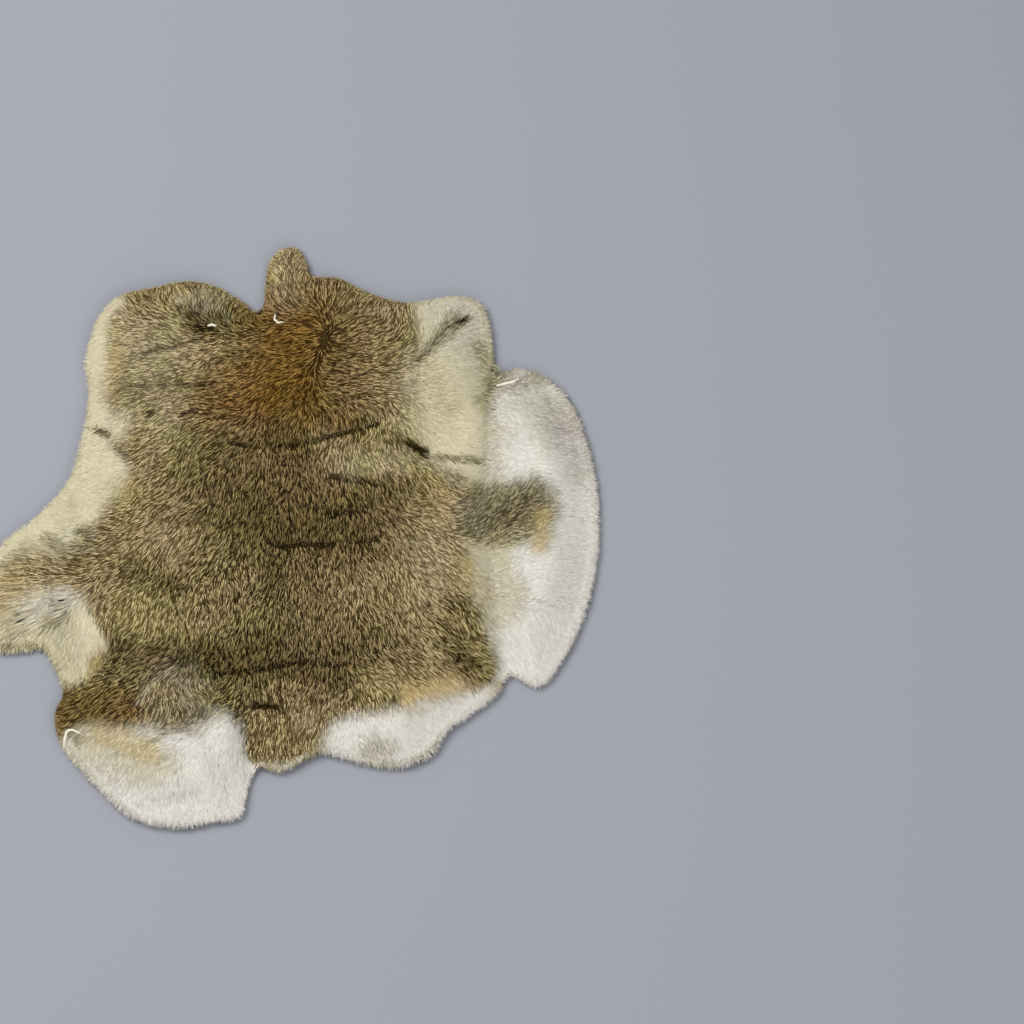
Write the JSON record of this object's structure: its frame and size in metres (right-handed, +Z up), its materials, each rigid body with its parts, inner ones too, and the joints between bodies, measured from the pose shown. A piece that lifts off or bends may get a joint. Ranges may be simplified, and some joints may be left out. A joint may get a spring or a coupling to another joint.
{
  "type": "rabbit skin pelt",
  "caption": "Dressed rabbit skin with its fur on, laid out flat with the fur side up: an uneven outline with an ear, leg flaps and a tail part, over a thin hide.",
  "frame": {"origin": "middle of the pelt's box, on the surface that it lies on", "axes": "+X to the pelt's right as seen from above with the head end away, +Y towards the head end, +Z up out of the fur"},
  "size_m": [0.3855, 0.369, 0.02],
  "materials": {
    "fur": "soft short fur, brown with cream ticking over the back, cream and white at the belly and legs",
    "hide": "matt off-white tanned skin with fine soft wrinkles"
  },
  "bodies": {
    "root": {"pelt": "fur"}
  },
  "joints": []
}
